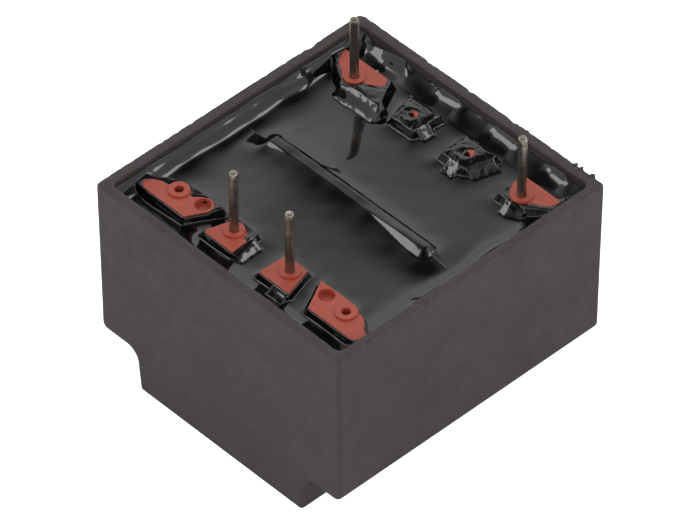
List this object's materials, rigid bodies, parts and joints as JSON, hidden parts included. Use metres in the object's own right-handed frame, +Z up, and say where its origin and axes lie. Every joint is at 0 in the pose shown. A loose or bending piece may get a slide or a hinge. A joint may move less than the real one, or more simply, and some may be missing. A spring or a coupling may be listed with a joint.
{
  "type": "encapsulated pcb transformer",
  "caption": "Potted mains transformer for a circuit board: stepped black case filled with glossy resin, red bobbin terminal blocks showing and round tinned pins on a grid.",
  "frame": {"origin": "middle of the closed face that it lies on, which is the bottom centre of the whole part's box", "axes": "+Z up along the pins; X along the pin rows; +Y from the secondary row towards the primary row"},
  "size_m": [0.0218, 0.0228, 0.0197],
  "materials": {
    "case_plastic": "matte moulded thermoset, fine eroded grain, warm black",
    "potting_resin": "glossy cast black resin",
    "bobbin_plastic": "brick-red glass-filled nylon, satin",
    "tinned_wire": "dull tinned copper-clad wire, tarnished",
    "solder": "dull solder",
    "winding_copper": "enamelled copper wire",
    "winding_tape": "amber polyester tape",
    "core_steel": "stamped silicon steel, grey oxide"
  },
  "bodies": {
    "root": {"case": "case_plastic", "potting_compound": "potting_resin", "bobbin": "bobbin_plastic", "secondary_pin_left": "tinned_wire", "secondary_pin_right": "tinned_wire", "primary_pin_left": "tinned_wire", "primary_pin_right": "tinned_wire", "secondary_solder_left": "solder", "secondary_solder_right": "solder", "primary_solder_left": "solder", "primary_solder_right": "solder", "secondary_winding": "winding_copper", "primary_winding": "winding_copper", "secondary_tape": "winding_tape", "primary_tape": "winding_tape", "core_lamination_front_1": "core_steel", "core_lamination_front_2": "core_steel", "core_lamination_front_3": "core_steel", "core_lamination_front_4": "core_steel", "core_lamination_front_5": "core_steel", "core_lamination_front_6": "core_steel", "core_lamination_front_7": "core_steel", "core_lamination_front_8": "core_steel", "core_lamination_front_9": "core_steel", "core_lamination_front_10": "core_steel", "core_lamination_back_1": "core_steel", "core_lamination_back_2": "core_steel", "core_lamination_back_3": "core_steel", "core_lamination_back_4": "core_steel", "core_lamination_back_5": "core_steel", "core_lamination_back_6": "core_steel", "core_lamination_back_7": "core_steel", "core_lamination_back_8": "core_steel", "core_lamination_back_9": "core_steel", "core_lamination_back_10": "core_steel"}
  },
  "joints": []
}
